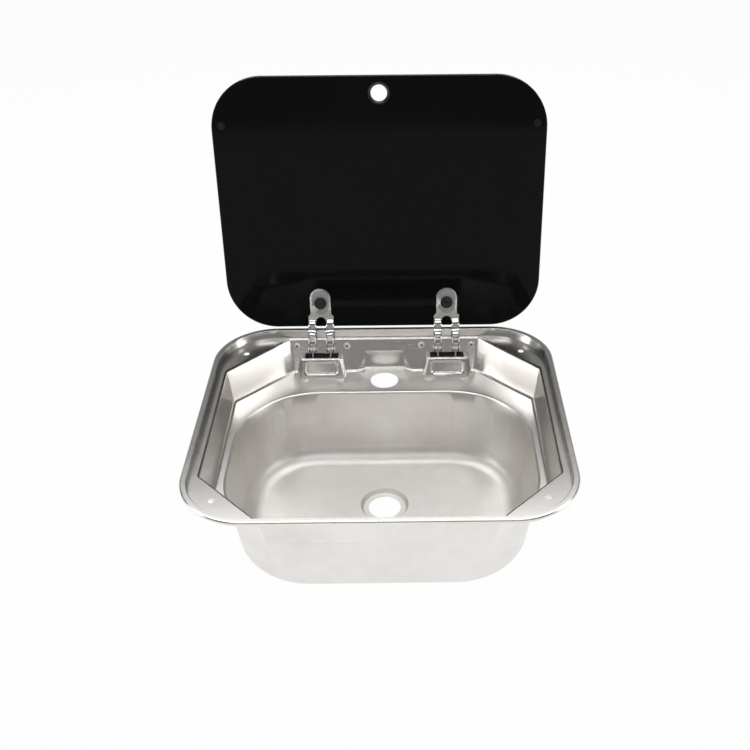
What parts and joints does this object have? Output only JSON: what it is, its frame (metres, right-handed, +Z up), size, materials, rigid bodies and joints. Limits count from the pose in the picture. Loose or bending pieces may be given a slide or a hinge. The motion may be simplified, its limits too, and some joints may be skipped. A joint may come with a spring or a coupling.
{
  "type": "kitchen sink with folding lid",
  "caption": "Small inset camper sink pressed from stainless sheet, with a black glass lid that folds down into the rim on two hinges",
  "frame": {"origin": "centre of the four corner screw holes, on the top face of their ledge", "axes": "+Z up out of the basin, +Y to the hinges at the rear, +X to the right of a user who stands in front"},
  "size_m": [0.415, 0.4115, 0.4589],
  "materials": {
    "stainless_sheet": "satin pressed stainless steel",
    "foam_strip": "matt closed-cell foam",
    "black_rubber": "matt black rubber",
    "steel_bracket": "plain stainless bracket sheet",
    "bright_steel": "bright rivet steel",
    "satin_steel": "satin hinge steel with bright borders",
    "black_metal": "black coated metal, half gloss",
    "black_glass": "black toughened glass, glossy"
  },
  "bodies": {
    "sink": {"sink_body": "stainless_sheet", "rim_seal": "foam_strip", "slot_seal_left": "black_rubber", "slot_seal_right": "black_rubber", "hinge_bracket_left": "steel_bracket", "hinge_bracket_right": "steel_bracket", "bracket_rivets": "bright_steel", "hinge_pins": "bright_steel"},
    "lid": {"lid_glass": "black_glass", "lid_bumpers": "black_rubber", "hinge_fork_left": "satin_steel", "fork_gasket_left": "black_rubber", "clamp_screw_left": "black_metal", "cap_washer_left": "black_rubber", "cap_nut_left": "black_metal", "hinge_fork_right": "satin_steel", "fork_gasket_right": "black_rubber", "clamp_screw_right": "black_metal", "cap_washer_right": "black_rubber", "cap_nut_right": "black_metal"}
  },
  "joints": [
    {"name": "lid_hinge", "type": "hinge", "parent": "sink", "child": "lid", "pos_m": [0, 0.1625, -0.011], "axis": [1, 0, 0], "range_deg": [0, 98.1]}
  ]
}
